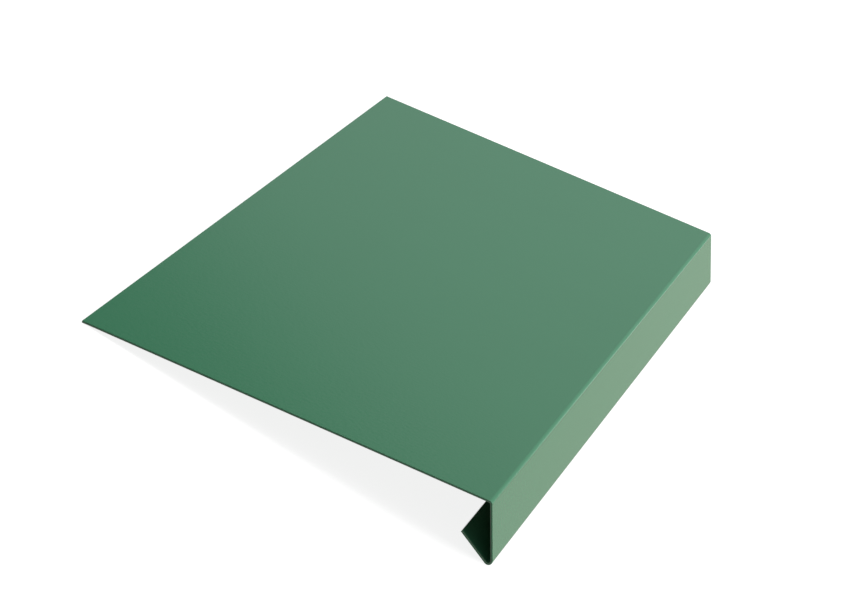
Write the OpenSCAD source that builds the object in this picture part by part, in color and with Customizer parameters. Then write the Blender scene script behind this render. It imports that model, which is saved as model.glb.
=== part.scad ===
// Drip edge flashing: a roof-edge trim folded from one strip of painted sheet steel.
// The flange lies on the roof deck, the drop hangs over the eaves, and the lip
// returns under the drop so that water falls clear of the fascia.
// It lies as it rests on a level floor: on the flange's free edge and the bottom fold.
// +X runs across the flange towards the drop, Y along the fold lines, +Z up.
// The origin is at the centre of the bounding box's base.

/* [Strip] */
// Length of the piece along its fold lines
piece_length = 350; // [100:5:3000]
// Thickness of the painted sheet
sheet_t = 0.75; // [0.4:0.05:1.2]
// Inside radius of both folds
fold_r = 0.8; // [0.4:0.05:1.2]

/* [Flange] */
// Width of the roof flange, from its free edge to the sharp corner of the upper fold
flange_w = 150; // [80:1:300]

/* [Drop] */
// Height of the drop face between the sharp corners of its two folds
drop_h = 25; // [20:0.5:80]
// Roof pitch that the drop allows for: it hangs plumb when the flange slopes this much
roof_pitch = 20; // [0:1:30]

/* [Lip] */
// Width of the returned lip, from the sharp corner of the bottom fold to its edge
lip_w = 17.5; // [12:0.5:20]
// Angle that the lip leaves open behind the drop
lip_angle = 38; // [30:1:60]

/* [Hidden] */
$fn = 96;

// Outside radius of both folds
fold_outer_r = fold_r + sheet_t;
// How far the sheet turns down at each fold
upper_turn = 90 - roof_pitch;
bottom_turn = 180 - lip_angle;
// Flat length that each fold takes from the two faces beside it
upper_setback = fold_outer_r * tan(upper_turn / 2);
bottom_setback = fold_outer_r * tan(bottom_turn / 2);
// Flat widths that are left between the folds
flange_flat = flange_w - upper_setback;
drop_flat = drop_h - upper_setback - bottom_setback;
lip_flat = lip_w - bottom_setback;

// Rotates a flat point [x, z] clockwise, as the sheet turns down at a fold
function turned(p, a) = [p[0] * cos(a) + p[1] * sin(a), p[1] * cos(a) - p[0] * sin(a)];

// The section before it is laid down has the upper fold's sharp corner at [0, 0]
// and the flange level towards -X, with its painted face at the top.
// The sharp corner of the bottom fold is one drop face further on.
bottom_corner = turned([drop_h, 0], upper_turn);
// Centre of the bottom fold, one outside radius in from the drop and from the lip
bottom_fold_centre = bottom_corner + turned([-bottom_setback, -fold_outer_r], upper_turn);
// Outer corner of the lip's edge
lip_corner = bottom_corner + turned([lip_w, 0], upper_turn + bottom_turn);
// Lower corner of the flange's free edge, where the part touches the floor
free_corner = [-flange_w, -sheet_t];

// The floor turns about the free corner until it touches the bottom fold, or the lip's edge
// where that comes first. A point is touched as a round of radius 0.
function floor_tilt(round_centre, r) =
    let (reach = round_centre - free_corner) asin(r / norm(reach)) - atan2(reach[1], reach[0]);
rest_tilt = max(floor_tilt(bottom_fold_centre, fold_outer_r), floor_tilt(lip_corner, 0));

// Extent of the laid section along X, from the free edge's upper corner to the bottom fold
function laid(p) = turned(p, -rest_tilt);
rest_left = laid([-flange_w, 0])[0];
rest_right = laid(bottom_fold_centre)[0] + fold_outer_r;
rest_floor = laid(free_corner)[1];

// A flat stretch of the section, painted face up, which starts at the origin and runs to +X
module flat_stretch(width) {
    translate([0, -sheet_t]) square([width, sheet_t]);
}

// One side of the line that a fold starts or ends at, as wide as the fold itself: -1 or 1
module fold_side(side) {
    translate([side * fold_outer_r, 0]) square(2 * fold_outer_r, center = true);
}

// A folded stretch of the section, which turns down by the given angle about a centre below it
module folded_stretch(turn) {
    translate([0, -fold_outer_r]) difference() {
        circle(r = fold_outer_r);
        circle(r = fold_r);
        fold_side(-1);
        rotate(-turn) fold_side(1);
    }
}

// Carries what follows a fold to the fold's far end, and turns it to the new direction
module after_fold(turn) {
    translate([0, -fold_outer_r]) rotate(-turn) translate([0, fold_outer_r]) children();
}

// The whole section, in the order that the strip is folded: flange, drop and lip
module strip_section() {
    translate([-flange_w, 0]) flat_stretch(flange_flat);
    translate([-upper_setback, 0]) {
        folded_stretch(upper_turn);
        after_fold(upper_turn) {
            flat_stretch(drop_flat);
            translate([drop_flat, 0]) {
                folded_stretch(bottom_turn);
                after_fold(bottom_turn) flat_stretch(lip_flat);
            }
        }
    }
}

// The section as it lies at rest, with the floor at zero and the box centred on X
module laid_section() {
    translate([-(rest_left + rest_right) / 2, -rest_floor]) rotate(rest_tilt) strip_section();
}

// The one folded piece of painted sheet
module flashing() {
    color("seagreen")
        rotate([90, 0, 0])
            linear_extrude(height = piece_length, center = true)
                laid_section();
}

flashing();
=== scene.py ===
# %% [markdown]
# # A drip edge flashing
# The real object is one strip of prepainted sheet steel, folded twice along its length.
# The wide flange lies on the roof deck, the narrow drop hangs over the eaves, and the lip
# returns behind the drop, so that water drips off clear of the wall.
# This lesson folds the strip in mesh code, paints it, and sets it before a camera in a small
# studio.

# %% [markdown]
# ## The frame
# The imported model comes first. It fixes the place and the size of the part, in metres.
# Its box is kept, hidden, beside the finished strip.

# %% Load the imported model
import math

import bmesh
import bpy
from mathutils import Matrix, Vector


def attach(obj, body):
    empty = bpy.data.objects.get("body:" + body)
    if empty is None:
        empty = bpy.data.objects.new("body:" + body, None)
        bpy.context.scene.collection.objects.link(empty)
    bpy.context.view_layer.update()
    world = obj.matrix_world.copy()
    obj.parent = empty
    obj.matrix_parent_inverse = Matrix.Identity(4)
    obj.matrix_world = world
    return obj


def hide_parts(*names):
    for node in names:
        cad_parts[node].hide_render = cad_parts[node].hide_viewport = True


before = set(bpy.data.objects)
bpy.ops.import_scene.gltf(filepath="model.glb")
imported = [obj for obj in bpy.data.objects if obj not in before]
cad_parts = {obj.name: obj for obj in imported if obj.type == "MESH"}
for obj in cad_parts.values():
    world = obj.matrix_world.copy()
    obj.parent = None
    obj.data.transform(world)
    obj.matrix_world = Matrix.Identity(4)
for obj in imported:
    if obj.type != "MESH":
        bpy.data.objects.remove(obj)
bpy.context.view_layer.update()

MM = 0.001

# %% [markdown]
# ## The camera
# The photograph was taken from above the near cut end with a long lens, and it is rolled.
# A camera can be given a place and a target, or three angles round a target. Angles are
# easier to read and to change, so the camera orbits a point near the middle of the piece.
# The roll comes last: it turns the picture about the line of sight and moves nothing.

# %% Camera
CAMERA_AIM = Vector((0.61, -2.89, 1.71)) * MM
CAMERA_DISTANCE = 1316.1 * MM
CAMERA_TURN = math.radians(-6.848)
CAMERA_RISE = math.radians(21.617)
CAMERA_ROLL = math.radians(28.0)
CAMERA_SENSOR = 36.0
CAMERA_LENS = 146.08


def orbit_matrix(aim, distance, turn, rise, roll):
    """Where a camera stands that looks at aim, and how it is turned."""
    forward = Vector((
        math.sin(turn) * math.cos(rise),
        math.cos(turn) * math.cos(rise),
        -math.sin(rise),
    ))
    level_right = forward.cross(Vector((0, 0, 1))).normalized()
    level_up = level_right.cross(forward)
    right = level_right * math.cos(roll) + level_up * math.sin(roll)
    up = right.cross(forward)
    matrix = Matrix((right, up, -forward)).transposed().to_4x4()
    matrix.translation = aim - forward * distance
    return matrix


camera_data = bpy.data.cameras.new("studio_camera")
camera_data.sensor_width = CAMERA_SENSOR
camera_data.lens = CAMERA_LENS
camera_data.clip_end = 100
camera = bpy.data.objects.new("studio_camera", camera_data)
camera.matrix_world = orbit_matrix(
    CAMERA_AIM, CAMERA_DISTANCE, CAMERA_TURN, CAMERA_RISE, CAMERA_ROLL
)
bpy.context.scene.collection.objects.link(camera)
bpy.context.scene.camera = camera
print("camera stands at, in mm:", [round(c / MM, 1) for c in camera.location])

# %% [markdown]
# ## The section
# A folding brake makes one fold after the other, and the section is drawn in that order.
# It could be typed in as a list of points, but a list says nothing about how it was made
# and can't be changed. Here it is a walk along the painted face: straight over the flange,
# round the upper fold, down the drop, round the bottom fold, and straight up the lip.
# The sizes are those of the real piece, as a folder reads them off a drawing: widths go
# to the sharp corners, so each fold takes a setback from the flats beside it.

# %% Sizes of the strip
SHEET_T = 0.75 * MM
FOLD_R = 0.8 * MM
FLANGE_W = 150 * MM
DROP_H = 25 * MM
LIP_W = 17.5 * MM
PIECE_LENGTH = 350 * MM
ROOF_PITCH = math.radians(20)
LIP_ANGLE = math.radians(38)

UPPER_TURN = math.pi / 2 - ROOF_PITCH
BOTTOM_TURN = math.pi - LIP_ANGLE
OUTER_R = FOLD_R + SHEET_T
UPPER_SETBACK = OUTER_R * math.tan(UPPER_TURN / 2)
BOTTOM_SETBACK = OUTER_R * math.tan(BOTTOM_TURN / 2)
print("setbacks in mm:", round(UPPER_SETBACK / MM, 3), round(BOTTOM_SETBACK / MM, 3))

# %% Walk along the section


class SectionWalk:
    """Stops along the painted face. Each is a place, a heading and a girth: how far along
    the flat strip it lies, measured in the middle of the sheet, which doesn't stretch."""

    def __init__(self, start):
        self.place = Vector(start)
        self.heading = 0.0
        self.girth = 0.0
        self.stops = [(self.place.copy(), self.heading, self.girth)]

    def facing(self):
        return Vector((-math.sin(self.heading), math.cos(self.heading)))

    def step_on(self, place, length):
        self.place = place
        self.girth += length
        self.stops.append((place.copy(), self.heading, self.girth))

    def straight(self, length, steps):
        along = Vector((math.cos(self.heading), math.sin(self.heading)))
        for _ in range(steps):
            self.step_on(self.place + along * (length / steps), length / steps)

    def fold(self, turn, steps):
        """Turns down by this angle. Gives the fold's centre and its middle in the girth."""
        centre = self.place - self.facing() * OUTER_R
        arc = (OUTER_R - SHEET_T / 2) * turn
        middle = self.girth + arc / 2
        for _ in range(steps):
            self.heading -= turn / steps
            self.step_on(centre + self.facing() * OUTER_R, arc / steps)
        return centre, middle


walk = SectionWalk((-FLANGE_W, 0.0))
walk.straight(FLANGE_W - UPPER_SETBACK, 30)
_, upper_fold_middle = walk.fold(UPPER_TURN, 16)
walk.straight(DROP_H - UPPER_SETBACK - BOTTOM_SETBACK, 5)
bottom_centre, bottom_fold_middle = walk.fold(BOTTOM_TURN, 32)
walk.straight(LIP_W - BOTTOM_SETBACK, 4)
print("stops:", len(walk.stops), "girth in mm:", round(walk.girth / MM, 2))

# %% [markdown]
# ## Laid on the floor
# An unheld piece tips until the bottom fold touches the floor, while the flange's free edge
# stays on it. The tilt follows from those two touching points: the slope of the line from
# the edge to the fold's centre, and the small angle that the fold's radius adds. The box is
# then centred on the origin, with its base at zero.

# %% Lay the section down
free_corner = Vector((-FLANGE_W, -SHEET_T))
reach = bottom_centre - free_corner
REST_TILT = math.asin(OUTER_R / reach.length) - math.atan2(reach.y, reach.x)
tilt = Matrix.Rotation(REST_TILT, 2)
left_end = (tilt @ Vector((-FLANGE_W, 0.0))).x
right_end = (tilt @ bottom_centre).x + OUTER_R
laid_shift = Vector((-(left_end + right_end) / 2, -(tilt @ free_corner).y))


def faces_of_stop(stop):
    """The stop on the painted face and the one straight through the sheet, as laid."""
    place, heading, _ = stop
    through = Vector((-math.sin(heading), math.cos(heading))) * SHEET_T
    return tilt @ place + laid_shift, tilt @ (place - through) + laid_shift


print("flange slopes at rest by", round(math.degrees(REST_TILT), 3), "degrees")

# %% [markdown]
# ## The sheet
# A Solidify modifier could thicken a folded plane, but it gives no control over the cuts,
# which are the most telling detail of sheet metal. So both faces of the sheet are drawn out
# along the fold lines as rows of points, and each point knows its partner through the sheet.
# Four surfaces get their own material: the weather side, the reverse side, the two ends that
# a guillotine cropped, and the two long edges that the coil slitter cut.

# %% Points of the sheet
LENGTH_STEPS = 50
WEATHER, REVERSE, CROPPED, SLIT = range(4)

sheet_bm = bmesh.new()
strip_map = sheet_bm.loops.layers.uv.new("flat_strip")
along_strip = [PIECE_LENGTH * step / LENGTH_STEPS for step in range(LENGTH_STEPS + 1)]
rows = [
    [
        [sheet_bm.verts.new((p.x, y - PIECE_LENGTH / 2, p.y)) for p in faces_of_stop(stop)]
        for stop in walk.stops
    ]
    for y in along_strip
]
print("points:", len(sheet_bm.verts))

# %% [markdown]
# The map carries real millimetres. On the two sides it is the flat strip, girth against
# length, because the paint went on while the strip was flat. On a cut it is the distance
# along the cut against the depth through the sheet, so that the layers of steel and paint
# can be found later.

# %% Skins and cuts


def quad(corners, surface, places, flipped=False):
    """One face with its material slot and its places on the map, given in metres."""
    if flipped:
        corners, places = corners[::-1], places[::-1]
    face = sheet_bm.faces.new(corners)
    face.material_index = surface
    for loop, (u, v) in zip(face.loops, places):
        loop[strip_map].uv = (u / MM, v / MM)


girths = [stop[2] for stop in walk.stops]
last = len(girths) - 1
for near, far, y0, y1 in zip(rows, rows[1:], along_strip, along_strip[1:]):
    for i, (a, b) in enumerate(zip(girths, girths[1:])):
        places = [(a, y0), (b, y0), (b, y1), (a, y1)]
        for side, surface in enumerate((WEATHER, REVERSE)):
            corners = [near[i][side], near[i + 1][side], far[i + 1][side], far[i][side]]
            quad(corners, surface, places, flipped=surface == REVERSE)
    for i in (0, last):
        corners = [near[i][0], far[i][0], far[i][1], near[i][1]]
        places = [(y0, 0), (y1, 0), (y1, SHEET_T), (y0, SHEET_T)]
        quad(corners, SLIT, places, flipped=i == last)
for row in (rows[0], rows[-1]):
    for i, (a, b) in enumerate(zip(girths, girths[1:])):
        corners = [row[i][0], row[i][1], row[i + 1][1], row[i + 1][0]]
        places = [(a, 0), (a, SHEET_T), (b, SHEET_T), (b, 0)]
        quad(corners, CROPPED, places, flipped=row is rows[-1])
print("faces before rounding:", len(sheet_bm.faces))

# %% [markdown]
# ## Rolled-over arrises
# A blade draws the sheet down before it cuts, so no edge is knife sharp. A bevel of a few
# hundredths of a millimetre is enough: it is far below a pixel, but it catches the light and
# makes a thin line along every cut, as on the real piece. Faces made in code have no normals
# yet, and a bevel needs them to know which way is out, so they are worked out first. Each
# new face takes the material of the face beside it.

# %% Round the arrises
EDGE_ROUND = 0.06 * MM
ROUND_STEPS = 2


def is_arris(edge):
    """Whether an edge lies between a painted side and a cut, or between two cuts."""
    surfaces = {face.material_index for face in edge.link_faces}
    return len(surfaces) == 2


arrises = [edge for edge in sheet_bm.edges if is_arris(edge)]
sheet_bm.normal_update()
rounded = bmesh.ops.bevel(
    sheet_bm, geom=arrises, offset=EDGE_ROUND, offset_type="OFFSET",
    segments=ROUND_STEPS, profile=0.5, affect="EDGES", clamp_overlap=True, material=-1,
)
for face in sheet_bm.faces:
    face.smooth = True
print("arris faces:", len(rounded["faces"]), "faces in all:", len(sheet_bm.faces))
print("volume in mm3:", round(sheet_bm.calc_volume(signed=True) / MM ** 3, 1))

# %% [markdown]
# Smooth shading over a flat face and a tiny bevel would bend the light on the flat. Weighted
# normals lean each corner towards its largest face, so flats stay flat and the folds and
# arrises alone turn the light.

# %% The piece
sheet_mesh = bpy.data.meshes.new("folded_sheet")
sheet_bm.to_mesh(sheet_mesh)
sheet_bm.free()
sheet = bpy.data.objects.new("folded_sheet", sheet_mesh)
bpy.context.scene.collection.objects.link(sheet)
even_shading = sheet.modifiers.new("even_shading", "WEIGHTED_NORMAL")
even_shading.weight = 100
even_shading.keep_sharp = False
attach(sheet, "root")
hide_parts("flashing")
print("triangles:", sum(len(polygon.vertices) - 2 for polygon in sheet_mesh.polygons))

# %% [markdown]
# ## Helpers for materials
# A material is a small network of nodes. These helpers place a node, do a sum, and mix two
# colours. A value may be a number or another node's socket, so the networks below read
# almost like formulas.

# %% Node helpers


def put(tree, kind, x, y, **settings):
    """A node of this kind at x, y. A setting named as a socket goes on that socket."""
    node = tree.nodes.new(kind)
    node.location = (x, y)
    for key, value in settings.items():
        if hasattr(node, key):
            setattr(node, key, value)
        else:
            node.inputs[key.replace("_", " ")].default_value = value
    return node


def feed(tree, socket, value):
    """Links a socket to another one, or sets it to a number."""
    if isinstance(value, bpy.types.NodeSocket):
        tree.links.new(value, socket)
    else:
        socket.default_value = value


def maths(tree, operation, x, y, *values, clamp=False):
    node = put(tree, "ShaderNodeMath", x, y, operation=operation, use_clamp=clamp)
    for socket, value in zip(node.inputs, values):
        feed(tree, socket, value)
    return node.outputs[0]


def colour_mix(tree, x, y, low, high, factor):
    node = put(tree, "ShaderNodeMix", x, y, data_type="RGBA")
    feed(tree, node.inputs[0], factor)
    colours = [socket for socket in node.inputs if socket.type == "RGBA"]
    for socket, value in zip(colours, (low, high)):
        feed(tree, socket, value)
    return next(socket for socket in node.outputs if socket.type == "RGBA")


def value_range(tree, x, y, value, low, high):
    """Stretches a value that runs from 0 to 1 over the range from low to high."""
    node = put(tree, "ShaderNodeMapRange", x, y, To_Min=low, To_Max=high)
    feed(tree, node.inputs["Value"], value)
    return node.outputs["Result"]


def new_group(name, inputs, outputs):
    """An empty shader node group with named sockets, and its two end nodes."""
    group = bpy.data.node_groups.new(name, "ShaderNodeTree")
    for label, kind, value in inputs:
        socket = group.interface.new_socket(label, in_out="INPUT", socket_type=kind)
        if value is not None:
            socket.default_value = value
    for label in outputs:
        group.interface.new_socket(label, in_out="OUTPUT", socket_type="NodeSocketFloat")
    start = group.nodes.new("NodeGroupInput")
    end = group.nodes.new("NodeGroupOutput")
    start.location, end.location = (-1000, 0), (800, 0)
    return group, start.outputs, end.inputs


# %% [markdown]
# ## Coil coating
# Coil coating is rolled on and baked, so it is far more even than sprayed paint. From a
# hand's width it still has a fine orange peel, and broad, very faint patches where the film
# is a touch thicker. An image of paint would repeat and blur close up. Noise in real
# millimetres doesn't. Both sides of the strip use it, so it is built once as a group, which
# puts out a height for the bump and a patch value.

# %% Coil coat group


def coil_coat_group():
    group, given, out = new_group(
        "coil_coat",
        [("Strip", "NodeSocketVector", None),
         ("Peel Size", "NodeSocketFloat", 1.6),
         ("Patch Size", "NodeSocketFloat", 60.0)],
        ["Height", "Patch"],
    )
    for size, result, detail, y in (("Peel Size", "Height", 2.0, 150),
                                    ("Patch Size", "Patch", 3.0, -150)):
        noise = put(group, "ShaderNodeTexNoise", -300, y, Detail=detail)
        feed(group, noise.inputs["Vector"], given["Strip"])
        feed(group, noise.inputs["Scale"], maths(group, "DIVIDE", -600, y, 1.0, given[size]))
        feed(group, out[result], noise.outputs["Fac"])
    return group


coil_coat = coil_coat_group()
print("group:", coil_coat.name, [socket.name for socket in coil_coat.interface.items_tree])

# %% [markdown]
# ## Stretched paint and a painted fold highlight
# Round a tight fold the film is stretched on the outside and squeezed on the inside. It goes
# a touch paler and duller there, in fine creases that run along the fold. The paler, brighter
# green is partly stretched film and partly a painted highlight along the fold. A painted mask
# could mark the folds, but the map already says where they are. The group compares a point's
# girth with the middle of a fold, and breaks the band up with noise stretched along the strip.

# %% Fold strain and painted highlight group


def fold_strain_group():
    group, given, out = new_group(
        "fold_strain_and_highlight",
        [("Strip", "NodeSocketVector", None),
         ("Middle", "NodeSocketFloat", 0.0),
         ("Half Width", "NodeSocketFloat", 1.0)],
        ["Strain"],
    )
    girth = put(group, "ShaderNodeSeparateXYZ", -800, 0)
    feed(group, girth.inputs[0], given["Strip"])
    from_middle = maths(group, "SUBTRACT", -600, 100, girth.outputs["X"], given["Middle"])
    off_middle = maths(group, "ABSOLUTE", -400, 100, from_middle)
    share = maths(group, "DIVIDE", -200, 100, off_middle, given["Half Width"])
    band = maths(group, "SUBTRACT", 0, 100, 1.15, share, clamp=True)
    stretched = put(group, "ShaderNodeVectorMath", -600, -200, operation="MULTIPLY")
    feed(group, stretched.inputs[0], given["Strip"])
    stretched.inputs[1].default_value = (6.0, 0.25, 1.0)
    creases = put(group, "ShaderNodeTexNoise", -300, -200, Scale=1.0, Detail=3.0)
    feed(group, creases.inputs["Vector"], stretched.outputs[0])
    # One value drives both the duller stretched film and the painted highlight along the fold.
    feed(group, out["Strain"], maths(group, "MULTIPLY", 400, 0, band, creases.outputs["Fac"]))
    return group


fold_strain_and_highlight = fold_strain_group()
FOLDS = [
    (upper_fold_middle / MM, (OUTER_R - SHEET_T / 2) * UPPER_TURN / 2 / MM),
    (bottom_fold_middle / MM, (OUTER_R - SHEET_T / 2) * BOTTOM_TURN / 2 / MM),
]
print("folds, middle and half width in mm:", [[round(v, 2) for v in fold] for fold in FOLDS])

# %% [markdown]
# ## The two painted sides
# The weather side is satin: a clear edge of light, but no mirror. The reverse has the same
# green in a thinner, duller film. The colour written here is the paint's own. What makes it
# look so much paler on the drop is the bright studio, seen at a flat angle in the gloss.

# %% Painted sides
PAINT_GREEN = (0.042, 0.187, 0.097)


def shade_of(colour, factor):
    return tuple(c * factor for c in colour) + (1.0,)


def painted_side(name, shade, gloss_low, gloss_high, peel):
    """Satin coil paint: faint patches in colour and gloss, orange peel, folds with stretched
    film and a painted highlight. The two gloss values are the lowest and highest roughness."""
    material = bpy.data.materials.new(name)
    material.use_nodes = True
    tree = material.node_tree
    bsdf = tree.nodes["Principled BSDF"]
    strip = put(tree, "ShaderNodeUVMap", -1400, 0, uv_map="flat_strip").outputs["UV"]
    coat = put(tree, "ShaderNodeGroup", -1100, 0, node_tree=coil_coat)
    feed(tree, coat.inputs["Strip"], strip)
    fold_band_outputs = []
    for place, (middle, half_width) in enumerate(FOLDS):
        node = put(tree, "ShaderNodeGroup", -1100, -250 - 200 * place, node_tree=fold_strain_and_highlight)
        node.inputs["Middle"].default_value = middle
        node.inputs["Half Width"].default_value = half_width
        feed(tree, node.inputs["Strip"], strip)
        fold_band_outputs.append(node.outputs["Strain"])
    strain_and_highlight = maths(tree, "MAXIMUM", -850, -250, *fold_band_outputs)

    low, high = shade_of(PAINT_GREEN, 0.97 * shade), shade_of(PAINT_GREEN, 1.03 * shade)
    film = colour_mix(tree, -600, 250, low, high, coat.outputs["Patch"])
    # The folds lift the colour towards a brighter green, a painted highlight along each fold.
    pale = maths(tree, "MULTIPLY", -600, 50, strain_and_highlight, 0.2)
    tint = colour_mix(tree, -350, 250, film, shade_of(PAINT_GREEN, 1.5 * shade), pale)
    gloss = value_range(tree, -600, -100, coat.outputs["Patch"], gloss_low, gloss_high)
    dulled = maths(tree, "MULTIPLY_ADD", -350, -100, strain_and_highlight, 0.06, gloss)
    bump = put(tree, "ShaderNodeBump", -350, -350, Strength=peel, Distance=0.001)
    feed(tree, bump.inputs["Height"], coat.outputs["Height"])
    feed(tree, bsdf.inputs["Base Color"], tint)
    feed(tree, bsdf.inputs["Roughness"], dulled)
    feed(tree, bsdf.inputs["Normal"], bump.outputs["Normal"])
    return material


weather_side = painted_side(
    "weather_side_paint", shade=1.0, gloss_low=0.18, gloss_high=0.22, peel=0.04
)
reverse_side = painted_side(
    "reverse_side_paint", shade=0.95, gloss_low=0.42, gloss_high=0.50, peel=0.05
)
print("painted sides:", weather_side.name, reverse_side.name)

# %% [markdown]
# ## Layers of a cut
# A blade leaves layers in a cut edge. The upper paint film is dragged down over part of the
# steel, with a ragged border. Next to it the steel is rubbed bright, scored by the blade from
# one side to the other, and below that it is torn, matt and grainy. The lower film shows as a
# thin line. The group finds the layers from the depth on the map. The ends that a guillotine
# cropped and the slit edges use it with their own values.

# %% Sheared layers group


def sheared_layers_group():
    group, given, out = new_group(
        "sheared_layers",
        [("Cut", "NodeSocketVector", None),
         ("Sheet", "NodeSocketFloat", SHEET_T / MM),
         ("Film", "NodeSocketFloat", 0.04),
         ("Drag", "NodeSocketFloat", 0.9),
         ("Rub", "NodeSocketFloat", 1.1)],
        ["Paint", "Rubbed", "Height"],
    )
    place = put(group, "ShaderNodeSeparateXYZ", -900, 0)
    feed(group, place.inputs[0], given["Cut"])
    depth = place.outputs["Y"]

    def noise_at(x_scale, y_scale, y, detail):
        """Noise over the cut, stretched by these scales, as a value from 0 to 1."""
        scaled = put(group, "ShaderNodeVectorMath", -700, y, operation="MULTIPLY")
        feed(group, scaled.inputs[0], given["Cut"])
        scaled.inputs[1].default_value = (x_scale, y_scale, 1.0)
        noise = put(group, "ShaderNodeTexNoise", -500, y, Scale=1.0, Detail=detail)
        feed(group, noise.inputs["Vector"], scaled.outputs[0])
        return noise.outputs["Fac"]

    def above(border, y):
        """1 above a ragged border at this depth, and 0 below it, with a short ramp."""
        gap = maths(group, "SUBTRACT", 0, y, border, depth)
        return maths(group, "MULTIPLY_ADD", 200, y, gap, 12.0, 0.5, clamp=True)

    ragged = noise_at(1.3, 0.0, -200, 4.0)
    dragged = above(maths(group, "MULTIPLY", -200, 300, ragged, given["Drag"]), 300)
    upper_film = maths(group, "LESS_THAN", 0, 150, depth, given["Film"])
    film_top = maths(group, "SUBTRACT", -200, 0, given["Sheet"], given["Film"])
    lower_film = maths(group, "GREATER_THAN", 0, 0, depth, film_top)
    films = maths(group, "MAXIMUM", 300, 50, upper_film, lower_film)
    feed(group, out["Paint"], maths(group, "MAXIMUM", 500, 150, films, dragged))

    rubbed = above(maths(group, "MULTIPLY", -200, -300, ragged, given["Rub"]), -300)
    feed(group, out["Rubbed"], rubbed)
    scores = noise_at(16.0, 0.8, -500, 1.0)
    grain = noise_at(18.0, 18.0, -800, 2.0)
    scored = maths(group, "MULTIPLY", 400, -500, rubbed, scores)
    not_rubbed = maths(group, "SUBTRACT", 200, -700, 1.0, rubbed)
    torn = maths(group, "MULTIPLY", 400, -700, not_rubbed, grain)
    feed(group, out["Height"], maths(group, "ADD", 600, -500, scored, torn))
    return group


sheared_layers = sheared_layers_group()
print("group:", sheared_layers.name)

# %% [markdown]
# ## The cuts
# Steel and paint reflect in different ways: bare steel is metal, its colour is its
# reflection, and the film over it isn't. So the paint mask drives both the colour and
# Metallic. Real cut edges stay bright only for days, so the steel is a dull grey, with a
# green cast from the thin smear of film that the blade leaves on it.

# %% Cut edges
STEEL = (0.145, 0.19, 0.162, 1.0)


def cut_edge(name, drag, rub, smear_painted_shade):
    """A sheared edge: dragged paint, drawn darker as painted shade, over rubbed and torn
    steel.
    """
    material = bpy.data.materials.new(name)
    material.use_nodes = True
    tree = material.node_tree
    bsdf = tree.nodes["Principled BSDF"]
    cut = put(tree, "ShaderNodeUVMap", -1000, 0, uv_map="flat_strip").outputs["UV"]
    layers = put(tree, "ShaderNodeGroup", -750, 0, node_tree=sheared_layers)
    layers.inputs["Drag"].default_value = drag
    layers.inputs["Rub"].default_value = rub
    feed(tree, layers.inputs["Cut"], cut)
    paint, rubbed = layers.outputs["Paint"], layers.outputs["Rubbed"]
    # The paint on the cuts is the paint green darkened by this factor: painted shade on the
    # cut.
    green = shade_of(PAINT_GREEN, smear_painted_shade)
    feed(tree, bsdf.inputs["Base Color"], colour_mix(tree, -400, 300, STEEL, green, paint))
    feed(tree, bsdf.inputs["Metallic"], maths(tree, "SUBTRACT", -400, 100, 1.0, paint))
    feed(tree, bsdf.inputs["Roughness"], value_range(tree, -400, -50, rubbed, 0.6, 0.42))
    bump = put(tree, "ShaderNodeBump", -400, -300, Strength=0.3, Distance=0.00004)
    feed(tree, bump.inputs["Height"], layers.outputs["Height"])
    feed(tree, bsdf.inputs["Normal"], bump.outputs["Normal"])
    return material


cropped_end = cut_edge("cropped_end", drag=1.0, rub=1.2, smear_painted_shade=0.9)
slit_edge = cut_edge("slit_edge", drag=0.8, rub=1.0, smear_painted_shade=0.9)
for material in (weather_side, reverse_side, cropped_end, slit_edge):
    sheet_mesh.materials.append(material)
print("materials:", [material.name for material in sheet_mesh.materials])

# %% [markdown]
# ## The floor
# The part lies on a sheet of pale paper. In the photograph the background is pure white, and
# lamps strong enough for that would wash the paint out. So the floor answers by who asks,
# with Light Path. The camera sees paper that glows by itself almost to white, and takes just
# enough light from the lamps to keep the object's soft shadow. Further out, where no shadow
# falls, the glow rises to full white, so that no horizon shows. Light that bounces meets a
# plain mid-grey floor. Reflections meet an even, slightly warm tone, which is what makes the
# drop look pale.

# %% Floor
FLOOR_HALF = 20.0
FLOOR_GREY = 0.35
FLOOR_GLOW = 0.86
FLOOR_LIT = 0.26
FLOOR_GLOSSY = (0.62, 0.585, 0.515)
FADE_STARTS = 0.4
FADE_ENDS = 1.4


def shader_mix(tree, x, y, factor, first, second):
    node = put(tree, "ShaderNodeMixShader", x, y)
    for socket, value in zip(node.inputs, (factor, first, second)):
        feed(tree, socket, value)
    return node.outputs[0]


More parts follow.
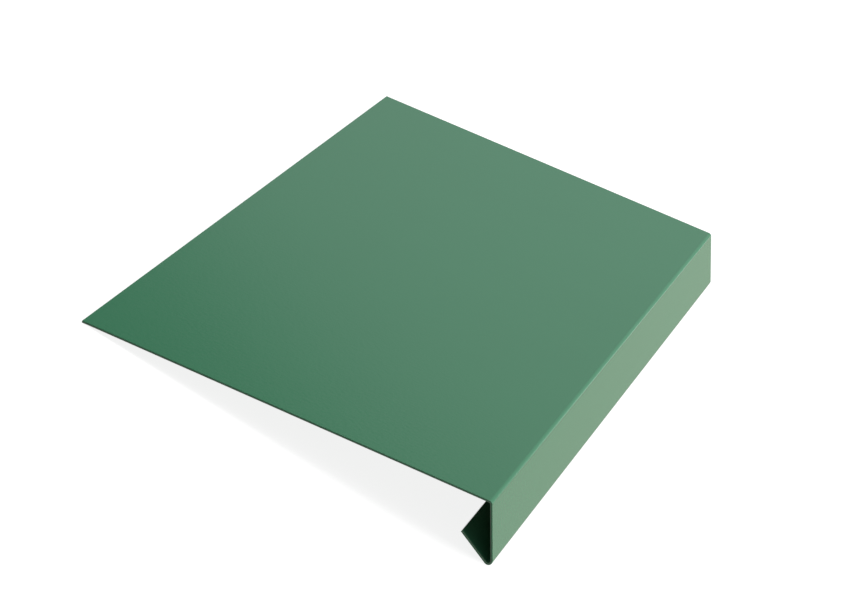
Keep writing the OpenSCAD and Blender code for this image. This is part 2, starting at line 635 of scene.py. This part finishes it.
def paper_material():
    material = bpy.data.materials.new("floor_paper")
    material.use_nodes = True
    tree = material.node_tree
    tree.nodes.clear()
    asks = put(tree, "ShaderNodeLightPath", -500, 300).outputs
    grey, lit, glow, tone = (
        put(tree, kind, -500, y).outputs[0]
        for kind, y in (("ShaderNodeBsdfDiffuse", 0), ("ShaderNodeBsdfDiffuse", -150),
                        ("ShaderNodeEmission", -300), ("ShaderNodeEmission", -450))
    )
    grey.node.inputs["Color"].default_value = (FLOOR_GREY,) * 3 + (1,)
    lit.node.inputs["Color"].default_value = (FLOOR_LIT,) * 3 + (1,)
    place = put(tree, "ShaderNodeNewGeometry", -1200, -350).outputs["Position"]
    away = put(tree, "ShaderNodeVectorMath", -1000, -350, operation="LENGTH")
    feed(tree, away.inputs[0], place)
    fade = put(
        tree, "ShaderNodeMapRange", -800, -350,
        From_Min=FADE_STARTS, From_Max=FADE_ENDS, To_Min=FLOOR_GLOW, To_Max=1.0,
    )
    feed(tree, fade.inputs["Value"], away.outputs["Value"])
    feed(tree, glow.node.inputs["Strength"], fade.outputs["Result"])
    tone.node.inputs["Color"].default_value = FLOOR_GLOSSY + (1,)
    shown = put(tree, "ShaderNodeAddShader", -250, -200)
    feed(tree, shown.inputs[0], lit)
    feed(tree, shown.inputs[1], glow)
    unseen = shader_mix(tree, 0, 0, asks["Is Glossy Ray"], grey, tone)
    paper = shader_mix(tree, 250, 0, asks["Is Camera Ray"], unseen, shown.outputs[0])
    out = put(tree, "ShaderNodeOutputMaterial", 500, 0)
    feed(tree, out.inputs["Surface"], paper)
    return material


floor_mesh = bpy.data.meshes.new("studio_floor")
floor_corners = [(x * FLOOR_HALF, y * FLOOR_HALF, 0)
                 for x, y in ((-1, -1), (1, -1), (1, 1), (-1, 1))]
floor_mesh.from_pydata(floor_corners, [], [(0, 1, 2, 3)])
floor_mesh.materials.append(paper_material())
floor = bpy.data.objects.new("studio_floor", floor_mesh)
bpy.context.scene.collection.objects.link(floor)
print("floor:", 2 * FLOOR_HALF, "m square")

# %% [markdown]
# ## The lamps
# A satin sheet shows its surroundings, so each lamp has one job. The softbox above lights the
# flange, and the one on the right lights the drop. That one is bright and low, so for a
# viewer on the left it would turn the whole flange white, and it is kept out of the gloss.
# The big dim panel behind is placed for the gloss alone. Its upper left border crosses the
# place that the flange reflects, which leaves the near left corner deep green and the far
# right one pale. The small card beside it is what the upper fold reflects, and makes a soft
# line of light. A low lamp in front reaches into the open lip and on the cut end.

# %% Lamps


def soft_lamp(name, place, aim, size, watts, turn=0.0, in_gloss=True):
    """A rectangular softbox at place, which shines at aim and is turned about that line."""
    data = bpy.data.lights.new(name, "AREA")
    data.shape = "RECTANGLE"
    data.size, data.size_y = size
    data.energy = watts
    lamp = bpy.data.objects.new(name, data)
    lamp.visible_glossy = in_gloss
    towards = (Vector(aim) - Vector(place)).to_track_quat("-Z", "Y").to_matrix()
    spin = Matrix.Rotation(math.radians(turn), 3, "Z")
    lamp.matrix_world = Matrix.Translation(place) @ (towards @ spin).to_4x4()
    bpy.context.scene.collection.objects.link(lamp)
    print(name, "radiance", round(watts / (math.pi * size[0] * size[1]), 2))


TOP_WATTS = 14.0
RIGHT_WATTS = 53.5
BACK_WATTS = 1.02
CARD_WATTS = 0.55
FRONT_WATTS = 2.0
soft_lamp("top_softbox", (0.15, 0.4, 1.25), (0, 0, 0), (1.0, 1.0), TOP_WATTS)
soft_lamp("right_softbox", (2.2, 0.3, 1.0), (0, 0, 0), (1.6, 1.6), RIGHT_WATTS, in_gloss=False)
soft_lamp("back_panel", (0.13, 0.8, 0.3), (0.13, 0, 0.3), (1.5, 0.6), BACK_WATTS, turn=-37.0)
soft_lamp("corner_card", (0.32, 0.8, 0.2), (0.32, 0, 0.2), (0.36, 0.4), CARD_WATTS)
soft_lamp("front_fill", (0.35, -2.0, 0.3), (0, 0, 0), (1.2, 0.5), FRONT_WATTS)

# %% [markdown]
# ## The room
# The world stands for the room, and it answers by who asks, as the floor does. It fills the
# shadows with a little even light. In reflections it is nearly dark, or it would lift the
# deep green corner. Only the camera sees it as white, which hides where the floor ends.

# %% Room
ROOM_FILL = 0.22
ROOM_GLOSS = 0.03

world = bpy.data.worlds.new("studio_room")
bpy.context.scene.world = world
world.use_nodes = True
room = world.node_tree
room.nodes.clear()
asks = put(room, "ShaderNodeLightPath", -400, 200).outputs
fill, dim, white = (
    put(room, "ShaderNodeBackground", -400, y, Strength=level).outputs[0]
    for y, level in ((0, ROOM_FILL), (-150, ROOM_GLOSS), (-300, 1.0))
)
for background in (fill, dim, white):
    background.node.inputs["Color"].default_value = (1, 1, 1, 1)
unseen = shader_mix(room, -100, 0, asks["Is Glossy Ray"], fill, dim)
shown = shader_mix(room, 150, 0, asks["Is Camera Ray"], unseen, white)
room_out = put(room, "ShaderNodeOutputWorld", 400, 0)
feed(room, room_out.inputs["Surface"], shown)
bpy.context.scene.view_settings.view_transform = "Standard"
print("room: fill", ROOM_FILL, "in reflections", ROOM_GLOSS)
